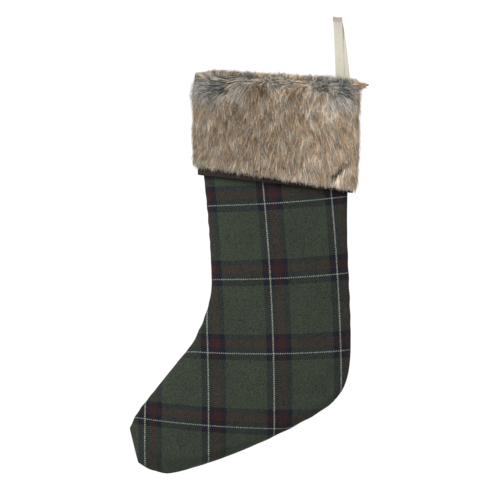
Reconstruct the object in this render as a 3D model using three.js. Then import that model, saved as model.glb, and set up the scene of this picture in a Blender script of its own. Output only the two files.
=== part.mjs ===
// A lined fabric Christmas stocking with a turned-down faux-fur cuff and a folded tape to hang it by.
// Millimetres, +Z up, -Y is the front, the toe points to -X.
// The origin is where a hook bears: the middle of the flat under the tape's crown.

import * as THREE from 'three';

// ---- Driving dimensions ----------------------------------------------------

// Outline of the leg and foot, in the XZ plane.
const RIM_TOE = [-168.6, -71];        // mouth corner on the toe side
const RIM_HEEL = [21, -82];           // mouth corner on the heel side
const ANKLE = [-149.5, -318];         // narrowest place, on the instep
const TOE_TOP = [-247.8, -494];
const TOE_BOTTOM = [-238, -534];
const BALL = [-188, -543.5];          // where the sole starts to turn up to the toe
const HEEL_BACK = [14.4, -393];

const DEPTH = 18;                     // half the thickness of the open leg, front to back
const TARTAN = 1.6;                   // cloth thicknesses
const LINING = 0.9;
const FACING = 1.0;
const TAPE = 0.6;
const SEAM_GAP = 0.3;                 // between the front and back halves of every pair of panels
const LAYER_GAP = 0.5;                // between one layer of cloth and the next

// Cuff, hanging down outside the leg from the mouth.
const HEM_TOE = [-166.2, -189.5];
const HEM_HEEL = [17.2, -211];
const HEM_FLARE = 5;                  // how far the hem stands off the front and the back of the leg
const PILE_FRONT = 11;                // fur, measured out from the mouth line: front and back,
const PILE_TOE = 9;                   // toe side
const PILE_HEEL = 6.5;                // and heel side
const FUR_HEM = 0.94;                 // the fur ends a little above the facing's hem
const FUR_CREST = 4.2;                // height of the fur's fold above the mouth line
const LIP_RISE = 2;                   // the fur's lip lies this far above the mouth line
const LIP_REACH = 0.2;                // and reaches this far inside the lining

// Lining and seams.
const SIDE_INSET = 9;                 // the lining is cut narrower, which leaves room for the leg seam
const ALLOWANCE = 5;                  // width of the turned-in seam
const ALLOWANCE_GAP = 0.6;            // between it and the cloth outside it
const SEAM_THICK = 1.2;
const RIM_SEAM = { low: 0.5, high: 1.6 };                        // heights above the mouth line
const CORNER_ROOT = { height: 11, thick: 3, drop: 2 };           // drop is measured down from
const CORNER_TIP = { height: 1.5, thick: 1, drop: 1.1 };         // the mouth's corner
const CORNER_LENGTH = 9.5;

// Hanging loop.
const TAPE_WIDTH = 10.8;
const CROWN_RADIUS = 4;               // inside the bend
const CROWN_FACETS = 9;               // odd, so that the middle one lies level
const LOOP_MIDDLE = -38;              // height at which the upper and lower halves of the tape meet
const LOOP_ROOT = -74;                // height of the fold line just above the cuff
const FRONT_LEG_ROOT = 3.2;           // where the two legs of the tape come down at the root
const BACK_LEG_ROOT = 9.6;
const ROOT_BEND = 0.75;               // how soon the legs lean over towards their roots
const TAIL_LENGTH = 24;               // tape sewn in below the mouth
const TAIL_GAP = 0.6;                 // between the fold line and the sewn ends
const TACK = { width: 8, height: 3, thick: 0.8, drop: 13, left: 3 };   // block of close stitches

// ---- Curves of the outline -------------------------------------------------

const vec = ([x, z]) => new THREE.Vector2(x, z);

function path(...curves) {
  const whole = new THREE.CurvePath();
  for (const points of curves) {
    const [a, b, c, d] = points.map(vec);
    whole.add(points.length === 2 ? new THREE.LineCurve(a, b) : new THREE.CubicBezierCurve(a, b, c, d));
  }
  return whole;
}

const instep = path(
  [RIM_TOE, [-165, -150], [-151, -245], ANKLE],
  [ANKLE, [-149.5, -343], [-161, -370], [-174, -394]],
  [[-174, -394], [-228, -461]],
  [[-228, -461], [-237, -472], [-243, -480], TOE_TOP],
);

const heel = path(
  [RIM_HEEL, [16, -130], [10, -185], [10, -240]],
  [[10, -240], [10, -290], [14.8, -335], HEEL_BACK],
  [HEEL_BACK, [13.5, -438], [7, -456], [-28, -476.5]],
  [[-28, -476.5], [-70, -501.5], [-135, -529.5], BALL],
  [BALL, [-208, -551], [-228, -541], TOE_BOTTOM],
);

// ---- Lofted solids ---------------------------------------------------------

// Joins a row of closed loops, each with the same number of points, and closes both ends.
// cap lists the triangles of one end, as point numbers in the loop.
function loft(loops, cap) {
  const around = loops[0].length;
  const last = (loops.length - 1) * around;
  const index = [];
  for (let row = 0; row < loops.length - 1; row++) {
    for (let i = 0; i < around; i++) {
      const a = row * around + i;
      const b = row * around + (i + 1) % around;
      index.push(a, b, b + around, a, b + around, a + around);
    }
  }
  for (const [a, b, c] of cap) {
    index.push(a, c, b, last + a, last + b, last + c);
  }
  return outward(loops.flat(), index);
}

// Builds the geometry and turns its faces outwards if they came out facing in.
function outward(points, index) {
  let volume = 0;
  for (let i = 0; i < index.length; i += 3) {
    const [a, b, c] = [points[index[i]], points[index[i + 1]], points[index[i + 2]]];
    volume += a.dot(b.clone().cross(c));
  }
  if (volume < 0) {
    index.reverse();
  }
  const geometry = new THREE.BufferGeometry().setFromPoints(points);
  geometry.setIndex(index);
  geometry.computeVertexNormals();
  return geometry;
}

// The end of a band whose loop runs out along one side and back along the other.
function stripCap(columns) {
  const cap = [];
  for (let i = 0; i < columns; i++) {
    const far = 2 * columns + 1 - i;
    cap.push([i, i + 1, far - 1], [i, far - 1, far]);
  }
  return cap;
}

// The end of a solid whose loop is any simple outline, wound the same way as the loop.
function outlineCap(outline) {
  const triangles = THREE.ShapeUtils.triangulateShape(outline, []);
  return THREE.ShapeUtils.isClockWise(outline) ? triangles.map((t) => t.reverse()) : triangles;
}

const steps = (count) => Array.from({ length: count + 1 }, (_, i) => i / count);

// ---- Panels of the leg and foot --------------------------------------------

const COLUMNS = 14;
const ROWS = 32;
const TOE_ROUNDING = 0.2;             // share of the length over which the foot closes to the toe seam
const LINING_END = 0.965;             // share of the length at which the lining closes
const LINING_EASE = [0.01, 0.08];     // shares over which it draws in below the mouth
const SEAM_FIRST_ROW = 3;             // rows left out at the mouth, where the tape is sewn in,
const SEAM_LAST_ROWS = 2;             // and at the toe

// How open the foot is at a share s of its length: 1 along the leg, 0 at the toe seam.
function openness(s) {
  const into = Math.max(0, (s - (1 - TOE_ROUNDING)) / TOE_ROUNDING);
  return Math.sqrt(1 - into * into);
}

// A point on a tube round the leg. inset moves its sides in from the outline, and depth is its half
// thickness; side is -1 for the front and 1 for the back.
function tubePoint(s, angle, inset, depth, side) {
  const toe = instep.getPointAt(s);
  const back = heel.getPointAt(s);
  const centre = toe.clone().add(back).multiplyScalar(0.5);
  const half = back.clone().sub(toe).multiplyScalar(0.5);
  const reach = half.length();
  half.multiplyScalar((reach - inset) / reach * Math.cos(angle));
  return new THREE.Vector3(
    centre.x + half.x,
    side * (SEAM_GAP / 2 + depth * Math.sin(angle)),
    centre.y + half.y,
  );
}

// One panel of a layer. inset(s) is the layer's outer inset at its sides, outer its half thickness
// at the leg, and end the share of the length at which it closes.
function panel(side, { inset, outer, thick, end }) {
  const loops = steps(ROWS).map((row) => {
    const s = row * end;
    const open = openness(row);
    const angles = steps(COLUMNS).map((t) => Math.PI * t);
    const out = angles.map((a) => tubePoint(s, a, inset(s), thick + (outer - thick) * open, side));
    const back = angles.reverse().map((a) => tubePoint(s, a, inset(s) + thick, (outer - thick) * open, side));
    return [...out, ...back];
  });
  return loft(loops, stripCap(COLUMNS));
}

const tartan = {
  inset: () => 0,
  outer: DEPTH,
  thick: TARTAN,
  end: 1,
};

const lining = {
  inset: (s) => {
    const close = TARTAN + LAYER_GAP;
    return close + (SIDE_INSET - close) * THREE.MathUtils.smoothstep(s, ...LINING_EASE);
  },
  outer: DEPTH - TARTAN - LAYER_GAP,
  thick: LINING,
  end: LINING_END,
};

// The turned-in edges of the tartan, sewn together: a flat band just inside the outline, from below
// the tape's ends down one side, across the toe and up the other. It shares the panels' rows.
function legSeam() {
  const rows = steps(ROWS).slice(SEAM_FIRST_ROW, -SEAM_LAST_ROWS);
  const edges = [-1, 1].map((sign) => rows.map((s) => {
    const cross = heel.getPointAt(s).sub(instep.getPointAt(s)).normalize();
    const edge = (sign < 0 ? instep : heel).getPointAt(s);
    const inward = cross.multiplyScalar(-sign);
    return [edge.clone().addScaledVector(inward, TARTAN + ALLOWANCE_GAP), inward];
  }));
  const along = [...edges[0], ...edges[1].reverse()];
  const loops = along.map(([at, inward]) => {
    const inner = at.clone().addScaledVector(inward, ALLOWANCE);
    return [
      new THREE.Vector3(at.x, -SEAM_THICK / 2, at.y),
      new THREE.Vector3(at.x, SEAM_THICK / 2, at.y),
      new THREE.Vector3(inner.x, SEAM_THICK / 2, inner.y),
      new THREE.Vector3(inner.x, -SEAM_THICK / 2, inner.y),
    ];
  });
  return loft(loops, [[0, 1, 2], [0, 2, 3]]);
}

// ---- Cuff ------------------------------------------------------------------

const CUFF_COLUMNS = 18;
const cuffHeight = RIM_TOE[1] - HEM_TOE[1];

// A point of the cuff: angle runs from the heel side over the front or back to the toe side, drop
// from 0 at the mouth to 1 at the hem, and out is the distance outside the mouth line.
function cuffPoint(angle, drop, out, side) {
  const toe = vec(RIM_TOE).lerp(vec(HEM_TOE), drop);
  const back = vec(RIM_HEEL).lerp(vec(HEM_HEEL), drop);
  const centre = toe.clone().add(back).multiplyScalar(0.5);
  const half = back.clone().sub(toe).multiplyScalar(0.5);
  const reach = half.length();
  half.multiplyScalar((reach + out) / reach * Math.cos(angle));
  const depth = DEPTH + HEM_FLARE * drop + out;
  return new THREE.Vector3(
    centre.x + half.x,
    side * (SEAM_GAP / 2 + depth * Math.sin(angle)),
    centre.y + half.y,
  );
}

// Sweeps an outline in drop and out round one half of the cuff. outline(angle) gives [drop, out].
function cuffSweep(side, outline) {
  const loops = steps(CUFF_COLUMNS).map((t) => {
    const angle = Math.PI * t;
    return outline(angle).map(([drop, out]) => cuffPoint(angle, drop, out, side));
  });
  return loft(loops, outlineCap(outline(0).map(vec)));
}

const facingOut = LAYER_GAP + FACING;
const layersInside = TARTAN + LAYER_GAP + LINING;

function facingOutline() {
  const drops = steps(4);
  return [
    ...drops.map((d) => [d, LAYER_GAP]),
    ...drops.reverse().map((d) => [d, facingOut]),
  ];
}

// How far the pile reaches out from the mouth line, round the cuff.
function pileReach(angle) {
  const sides = THREE.MathUtils.lerp(PILE_HEEL, PILE_TOE, (1 - Math.cos(angle)) / 2);
  return THREE.MathUtils.lerp(sides, PILE_FRONT, Math.sin(angle));
}

// Fur cloth with its pile: over the mouth's edge and down the outside, thinning to the hem.
function furOutline(angle) {
  const backing = facingOut + LAYER_GAP;
  const reach = pileReach(angle);
  const mouth = -layersInside - LIP_REACH;
  const top = (height) => -height / cuffHeight;
  return [
    [FUR_HEM, backing],
    [0.5, backing],
    [0, backing],
    [top(LIP_RISE), backing],
    [top(LIP_RISE), mouth],
    [top(FUR_CREST * 0.8), mouth],
    [top(FUR_CREST), 0],
    [top(FUR_CREST * 0.6), reach * 0.6],
    [0.1, reach],
    [0.5, reach + 1],
    [0.8, reach + 1],
    [FUR_HEM, reach - 1],
  ];
}

// The sewn edge of the mouth, a flat ring on top of the lining, the tartan and the facing.
function rimSeam() {
  const level = [-RIM_SEAM.high / cuffHeight, -RIM_SEAM.low / cuffHeight];
  const outs = [-layersInside, facingOut];
  const count = 2 * CUFF_COLUMNS;
  const points = [];
  for (let i = 0; i < count; i++) {
    const turn = 2 * Math.PI * i / count;
    const side = turn < Math.PI ? -1 : 1;
    for (const [drop, out] of [[0, 0], [1, 0], [1, 1], [0, 1]]) {
      const p = cuffPoint(turn, level[drop], outs[out], 1);
      p.y = side * Math.abs(p.y - SEAM_GAP / 2);
      points.push(p);
    }
  }
  const index = [];
  for (let i = 0; i < count; i++) {
    for (let j = 0; j < 4; j++) {
      const a = 4 * i + j;
      const b = 4 * i + (j + 1) % 4;
      const ahead = 4 * ((i + 1) % count);
      index.push(a, b, ahead + (j + 1) % 4, a, ahead + (j + 1) % 4, ahead + j);
    }
  }
  return outward(points, index);
}

// The corner of the cuff's side seam that stands out past the fur on the heel side, tapering to a tip.
function seamCorner() {
  const root = RIM_HEEL[0] + pileReach(0) + facingOut;
  const loops = steps(2).map((t) => {
    const between = (key) => THREE.MathUtils.lerp(CORNER_ROOT[key], CORNER_TIP[key], t);
    const x = root + CORNER_LENGTH * t;
    const y = between('thick') / 2;
    const z = RIM_HEEL[1] - between('drop');
    const half = between('height') / 2;
    return [
      new THREE.Vector3(x, -y, z - half),
      new THREE.Vector3(x, y, z - half),
      new THREE.Vector3(x, y, z + half),
      new THREE.Vector3(x, -y, z + half),
    ];
  });
  return loft(loops, [[0, 1, 2], [0, 2, 3]]);
}

// ---- Hanging loop ----------------------------------------------------------

// Tape laid along points of [x, y, z]: its width stays along X and its thickness lies to either side
// of the line, square to it in the YZ plane.
function tape(line) {
  const loops = line.map((at, i) => {
    const [, y0, z0] = line[Math.max(i - 1, 0)];
    const [, y1, z1] = line[Math.min(i + 1, line.length - 1)];
    const along = new THREE.Vector2(y1 - y0, z1 - z0).normalize();
    const before = line[i - 1] ? new THREE.Vector2(at[1] - y0, at[2] - z0).normalize() : along;
    const half = TAPE / 2 / Math.abs(along.dot(before));
    return [[-1, -1], [1, -1], [1, 1], [-1, 1]].map(([across, through]) => new THREE.Vector3(
      at[0] + across * TAPE_WIDTH / 2,
      at[1] - through * half * along.y,
      at[2] + through * half * along.x,
    ));
  });
  return loft(loops, [[0, 1, 2], [0, 2, 3]]);
}

// Where the middle of one leg of the tape is at a given height. side is -1 for the front leg.
const crownMiddle = CROWN_RADIUS + TAPE / 2;
const crownCentre = -CROWN_RADIUS * Math.cos(Math.PI / CROWN_FACETS / 2);

function legAt(side, z) {
  const t = (crownCentre - z) / (crownCentre - LOOP_ROOT);
  const root = side < 0 ? FRONT_LEG_ROOT : BACK_LEG_ROOT;
  const rootY = SEAM_GAP / 2 + TAPE / 2;
  return [root * t ** ROOT_BEND, side * (rootY + (crownMiddle - rootY) * (1 - t)), z];
}

// Upper half of the loop: up the front leg, over the crown and down the back leg.
function loopTop() {
  const crown = [];
  for (let i = 0; i <= CROWN_FACETS; i++) {
    const turn = Math.PI * i / CROWN_FACETS;
    const radius = crownMiddle / Math.cos(Math.PI / CROWN_FACETS / 2);
    crown.push([0, -crownMiddle * Math.cos(turn), crownCentre + radius * Math.sin(turn)]);
  }
  const legHeights = steps(4).map((t) => LOOP_MIDDLE + (crownCentre - LOOP_MIDDLE) * t).slice(0, -1);
  return tape([
    ...legHeights.map((z) => legAt(-1, z)),
    ...crown,
    ...legHeights.reverse().map((z) => legAt(1, z)),
  ]);
}

// Lower half of one leg, down to the fold line.
function loopLeg(side) {
  const top = LOOP_MIDDLE - SEAM_GAP;
  return tape(steps(3).map((t) => legAt(side, top + (LOOP_ROOT - top) * t)));
}

function box(low, high) {
  const size = high.map((v, i) => v - low[i]);
  return new THREE.BoxGeometry(...size);
}

function boxCentre(low, high) {
  return high.map((v, i) => (v + low[i]) / 2);
}

// The two ends of the tape, one on the other, sewn in below the mouth.
const tailTop = LOOP_ROOT - TAPE - TAIL_GAP;
const tail = [
  [FRONT_LEG_ROOT - TAPE_WIDTH / 2, -TAPE, tailTop - TAIL_LENGTH],
  [BACK_LEG_ROOT + TAPE_WIDTH / 2 - 1, TAPE, tailTop],
];
const tackFace = -TAPE - SEAM_GAP;
const tackLeft = FRONT_LEG_ROOT - TACK.left;
const tack = [
  [tackLeft, tackFace - TACK.thick, tailTop - TACK.drop - TACK.height],
  [tackLeft + TACK.width, tackFace, tailTop - TACK.drop],
];

// ---- Assembly --------------------------------------------------------------

const stocking = new THREE.Group();

function add(name, geometry, color, roughness, position = [0, 0, 0]) {
  const material = new THREE.MeshStandardMaterial({ color, roughness, metalness: 0 });
  const mesh = new THREE.Mesh(geometry, material);
  mesh.name = name;
  mesh.position.set(...position);
  stocking.add(mesh);
}

const colours = {
  tartan: 0x3e463a,
  lining: 0x2b3229,
  fur: 0x9c8a78,
  facing: 0x2e2420,
  tape: 0xe9e3d2,
  thread: 0x3a3c34,
};

for (const [word, side] of [['front', -1], ['back', 1]]) {
  add(`tartan_${word}_panel`, panel(side, tartan), colours.tartan, 0.95);
  add(`lining_${word}_panel`, panel(side, lining), colours.lining, 0.8);
  add(`cuff_facing_${word}`, cuffSweep(side, facingOutline), colours.facing, 0.9);
  add(`cuff_fur_${word}`, cuffSweep(side, furOutline), colours.fur, 1);
  add(`hanging_loop_${word}_leg`, loopLeg(side), colours.tape, 0.9);
}
add('leg_seam_allowance', legSeam(), colours.tartan, 0.95);
add('mouth_rim_seam', rimSeam(), colours.facing, 0.9);
add('cuff_seam_corner', seamCorner(), colours.fur, 1);
add('hanging_loop_top', loopTop(), colours.tape, 0.9);
add('hanging_loop_sewn_ends', box(...tail), colours.tape, 0.9, boxCentre(...tail));
add('loop_bar_tack', box(...tack), colours.thread, 0.8, boxCentre(...tack));

export default stocking;
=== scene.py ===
import math

import bpy
import numpy as np
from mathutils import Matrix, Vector


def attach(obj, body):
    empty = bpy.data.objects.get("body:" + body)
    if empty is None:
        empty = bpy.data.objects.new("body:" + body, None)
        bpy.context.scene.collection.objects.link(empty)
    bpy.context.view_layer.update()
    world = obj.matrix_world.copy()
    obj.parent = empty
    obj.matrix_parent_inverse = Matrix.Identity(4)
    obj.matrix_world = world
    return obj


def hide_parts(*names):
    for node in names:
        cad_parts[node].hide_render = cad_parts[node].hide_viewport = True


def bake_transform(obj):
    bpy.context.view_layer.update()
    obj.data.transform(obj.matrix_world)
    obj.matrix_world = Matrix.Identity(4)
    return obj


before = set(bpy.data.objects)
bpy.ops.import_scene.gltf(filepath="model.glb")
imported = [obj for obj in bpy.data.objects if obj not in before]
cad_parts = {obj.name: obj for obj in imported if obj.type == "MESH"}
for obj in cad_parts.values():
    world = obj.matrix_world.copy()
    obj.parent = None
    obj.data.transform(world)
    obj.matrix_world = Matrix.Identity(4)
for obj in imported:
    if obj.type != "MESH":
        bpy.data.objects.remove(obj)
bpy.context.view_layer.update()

# Lengths are millimetres in the row frame (+Z up, -Y the front, -X towards the toe) up to the point
# where a mesh is made, which turns them into metres.
MM = 0.001

# ---- The stocking's sizes ----
# The leg's outline, its cloth and the cuff's hem are the CAD model's. The tape isn't: see below.

RIM_TOE = (-168.6, -71.0)
RIM_HEEL = (21.0, -82.0)
ANKLE = (-149.5, -318.0)
TOE_TOP = (-247.8, -494.0)
TOE_BOTTOM = (-238.0, -534.0)
BALL = (-188.0, -543.5)
HEEL_BACK = (14.4, -393.0)
INSTEP = [
    [RIM_TOE, (-165, -150), (-151, -245), ANKLE],
    [ANKLE, (-149.5, -343), (-161, -370), (-174, -394)],
    [(-174, -394), (-228, -461)],
    [(-228, -461), (-237, -472), (-243, -480), TOE_TOP],
]
HEEL = [
    [RIM_HEEL, (16, -130), (10, -185), (10, -240)],
    [(10, -240), (10, -290), (14.8, -335), HEEL_BACK],
    [HEEL_BACK, (13.5, -438), (7, -456), (-28, -476.5)],
    [(-28, -476.5), (-70, -501.5), (-135, -529.5), BALL],
    [BALL, (-208, -551), (-228, -541), TOE_BOTTOM],
]
DEPTH = 18.0
TARTAN = 1.6
LINING = 0.9
LAYER_GAP = 0.5
TOE_ROUNDING = 0.2
HEM_TOE = (-166.2, -189.5)
HEM_HEEL = (17.2, -211.0)
HEM_FLARE = 5.0
CUFF_HEIGHT = RIM_TOE[1] - HEM_TOE[1]
FACING_OUT = 1.5
BACKING_OUT = 2.0
CREST_RADIUS = 2.7
CREST_BASE = 1.0              # the crest's round starts this far above the mouth line
PILE = {"front": 11.0, "toe": 9.0, "heel": 6.5}
LINING_INSET = 5.0            # narrower than the tartan on each side; the CAD's lining is 9 narrower
TAPE_WIDTH = 10.8
# The CAD's tape is 0.6 thick, and its legs come together evenly down to 0.45 from Y 0. This one is
# thinner and closes sooner, as the photo shows it, so below the crown it lies inside the CAD's loop.
TAPE_THICK = 0.5
LEG_TOUCH = 0.30              # the middle of each leg is this far from Y 0 where the two lie together
CROWN_CENTRE = -3.94
CROWN_MIDDLE = 4.3
LOOP_ROOT = -74.0
LOOP_SPLIT = -66.0            # the upper loop meets its two leg roots here
TAIL_START = -80.0            # below this the tape is sewn in
TAIL_END = -99.2
LEG_ROOTS = {-1: 3.2, 1: 9.6}
ROOT_BEND = 0.75
CLOSING = 6.0                 # how fast the legs come together below the crown
SEWN_Y = 0.45


# ---- Mesh helpers ----


def grid_quads(rows, columns, ring=False):
    """Faces of a grid of points, row by row; a ring's last column joins its first."""
    across = columns if ring else columns - 1
    r, c = np.meshgrid(np.arange(rows - 1), np.arange(across), indexing="ij")
    a = r * columns + c
    b = r * columns + (c + 1) % columns
    return np.stack([a, b, b + columns, a + columns], axis=-1).reshape(-1, 4)


def fill_mesh(name, points, *face_sets):
    """A mesh from points in millimetres and arrays of faces, each array with faces of one size."""
    mesh = bpy.data.meshes.new(name)
    mesh.vertices.add(len(points))
    mesh.vertices.foreach_set("co", (np.asarray(points, float) * MM).astype(np.float32).ravel())
    corners = np.concatenate([np.asarray(f).ravel() for f in face_sets])
    sizes = np.concatenate([np.full(len(f), np.shape(f)[1]) for f in face_sets])
    mesh.loops.add(len(corners))
    mesh.loops.foreach_set("vertex_index", corners.astype(np.int32))
    mesh.polygons.add(len(sizes))
    starts = np.concatenate([[0], np.cumsum(sizes)[:-1]])
    mesh.polygons.foreach_set("loop_start", starts.astype(np.int32))
    mesh.update(calc_edges=True)
    mesh.polygons.foreach_set("use_smooth", np.ones(len(sizes), bool))
    return mesh


def place_in_scene(name, data):
    thing = bpy.data.objects.new(name, data)
    bpy.context.scene.collection.objects.link(thing)
    return thing


def points_of(mesh):
    """A mesh's points in metres, a row each."""
    co = np.zeros(len(mesh.vertices) * 3)
    mesh.vertices.foreach_get("co", co)
    return co.reshape(-1, 3)


def piece_of(mesh, material, body="stocking", replaced=()):
    """The object of a finished mesh, riding on its body."""
    piece = place_in_scene(mesh.name, mesh)
    mesh.materials.append(material)
    if body:
        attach(piece, body)
    if replaced:
        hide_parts(*replaced)
    return piece


def closed_rings(name, rings):
    """A closed mesh from rings of points along a line, with a flat face at either end."""
    length, count = rings.shape[:2]
    last = (length - 1) * count
    caps = np.array([list(range(count))[::-1], [last + i for i in range(count)]])
    mesh = fill_mesh(name, rings.reshape(-1, 3), grid_quads(length, count, ring=True), caps)
    flip_if_inward(mesh)
    return mesh


def unit(v):
    return v / np.maximum(np.linalg.norm(v, axis=-1, keepdims=True), 1e-9)


def swept_tube(points, radius, sides):
    """A closed round tube along a line of points: its points, side faces and fan caps."""
    line = np.asarray(points, float)
    along = unit(np.gradient(line, axis=0))
    reference = np.where(np.abs(along[:, 2:3]) > 0.9, [[1.0, 0, 0]], [[0, 0, 1.0]])
    across = unit(np.cross(along, reference))
    over = np.cross(across, along)
    turns = np.arange(sides) * 2 * math.pi / sides
    ring = across[:, None] * np.cos(turns)[:, None] + over[:, None] * np.sin(turns)[:, None]
    shell = (line[:, None] + ring * radius).reshape(-1, 3)
    whole = np.vstack([shell, line[:1], line[-1:]])
    first, last = len(shell), len(shell) + 1
    end = (len(line) - 1) * sides
    i = np.arange(sides)
    j = (i + 1) % sides
    caps = np.vstack([
        np.column_stack([np.full(sides, first), j, i]),
        np.column_stack([np.full(sides, last), end + i, end + j]),
    ])
    return whole, grid_quads(len(line), sides, ring=True), caps


# ---- Shader helper ----


def linear(red, green, blue):
    """A colour given by its displayed values of 0 to 255, as the linear colour a shader takes."""
    share = np.array([red, green, blue]) / 255
    low = share / 12.92
    high = ((share + 0.055) / 1.055) ** 2.4
    return (*np.where(share <= 0.04045, low, high).tolist(), 1.0)


class Shader:
    """A new material with its Principled node, and short calls to add and join nodes."""

    def __init__(self, name, roughness, sheen=0.0, specular=0.3):
        self.material = bpy.data.materials.new(name)
        self.material.use_nodes = True
        self.tree = self.material.node_tree
        self.surface = self.tree.nodes["Principled BSDF"]
        self.surface.inputs["Roughness"].default_value = roughness
        self.surface.inputs["Sheen Weight"].default_value = sheen
        self.surface.inputs["Specular IOR Level"].default_value = specular

    def add(self, kind, output=0, **given):
        """Adds a node. given holds its settings by name, or its inputs by name or number."""
        node = self.tree.nodes.new("ShaderNode" + kind)
        for key, value in given.items():
            if hasattr(node, key):
                setattr(node, key, value)
                continue
            socket = node.inputs[int(key[1:]) if key[0] == "i" and key[1:].isdigit() else key]
            if isinstance(value, bpy.types.NodeSocket):
                self.tree.links.new(value, socket)
            else:
                socket.default_value = value
        return node.outputs[output]

    def math(self, operation, a, b=0.0, c=0.0):
        return self.add("Math", operation=operation, i0=a, i1=b, i2=c)

    def plus(self, a, b):
        return self.math("ADD", a, b)

    def minus(self, a, b):
        return self.math("SUBTRACT", a, b)

    def times(self, a, b):
        return self.math("MULTIPLY", a, b)

    def line(self, value, slope, start):
        """value times slope, plus start."""
        return self.math("MULTIPLY_ADD", value, slope, start)

    def between(self, value, low, high, top=1.0):
        """0 where value is low, rising to top where it is high."""
        return self.add("MapRange", i0=value, i1=low, i2=high, i3=0.0, i4=top)

    def mix(self, share, a, b, blend="MIX"):
        """Colour a where share is 0 and b where it is 1."""
        return self.add("Mix", output=2, data_type="RGBA", blend_type=blend, i0=share, i6=a, i7=b)

    def ramp(self, value, stops, interpolation="LINEAR"):
        """A colour ramp with stops of (place, colour)."""
        node = self.tree.nodes.new("ShaderNodeValToRGB")
        ramp = node.color_ramp
        ramp.interpolation = interpolation
        while len(ramp.elements) < len(stops):
            ramp.elements.new(0.5)
        for element, (place, colour) in zip(ramp.elements, stops):
            element.position = place
            element.color = colour
        self.tree.links.new(value, node.inputs[0])
        return node.outputs[0]

    def position(self):
        """x, y and z in the row frame, in millimetres."""
        place = self.add("TexCoord", output=3)
        scaled = self.add("VectorMath", operation="SCALE", i0=place, i3=1000.0)
        return *self.split(scaled), scaled

    def split(self, vector):
        node = self.add("SeparateXYZ", i0=vector).node
        return node.outputs[0], node.outputs[1], node.outputs[2]

    def unrolled(self):
        """x, z and the place, moved by the mesh's spread, which lays out the cloth at a turned edge."""
        spread = self.add("Attribute", output=1, attribute_name="spread")
        place = self.add("VectorMath", operation="ADD", i0=self.position()[3], i1=spread)
        x, _, z = self.split(place)
        return x, z, place

    def noise(self, place, size, detail=2.0, roughness=0.5):
        """Smooth noise from 0 to 1 with features of about size millimetres."""
        return self.add("TexNoise", Vector=place, Scale=1 / size, Detail=detail, Roughness=roughness)

    def colour(self, socket, plain):
        self.surface.inputs["Base Color"].default_value = plain
        self.tree.links.new(socket, self.surface.inputs["Base Color"])

    def bump(self, height, depth, strength=1.0):
        """Relief of depth millimetres from a height of 0 to 1."""
        normal = self.add("Bump", Strength=strength, Distance=depth * MM, Height=height)
        self.tree.links.new(normal, self.surface.inputs["Normal"])


# ---- Tartan ----

WARP_PERIOD = 78.7
WEFT_PERIOD = 89.7
THREAD_GREEN = linear(54, 61, 50)
THREAD_NAVY = linear(27, 29, 38)
THREAD_RED = linear(52, 31, 33)
THREAD_CREAM = linear(160, 159, 146)
WEFT_CREAM = linear(136, 138, 128)
# Bands of one repeat of the sett, from a cream line on: (colour, width).
WARP_BANDS = [(THREAD_CREAM, 1.25), (THREAD_NAVY, 5.4), (THREAD_RED, 9.0), (THREAD_NAVY, 6.2),
              (THREAD_GREEN, 49.3), (THREAD_NAVY, 7.2)]
WEFT_BANDS = [(WEFT_CREAM, 1.15), (THREAD_NAVY, 7.4), (THREAD_GREEN, 58.5), (THREAD_NAVY, 6.2),
              (THREAD_RED, 9.8), (THREAD_NAVY, 6.2)]
TWILL = 2.6                   # repeat of the twill's diagonal along either thread
WARP_START = 76.8             # the first cream warp line lies this far to the toe side of X 0
WEFT_START = 77.4
WEFT_LEVEL = -223.2           # height of the cream weft line that the others are counted from
WARP_LEAN = (480.0, 280.0, 13.8)    # the warp leans above this depth, over this height, by this much


def bands_ramp(shader, place, period, bands):
    """The threads' colour at a place along the repeat."""
    share = shader.math("FRACT", shader.math("DIVIDE", place, period))
    stops = []
    start = 0.0
    for colour, width in bands:
        stops.append((start / period, colour))
        start += width
    return shader.ramp(share, stops, "CONSTANT")


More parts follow.
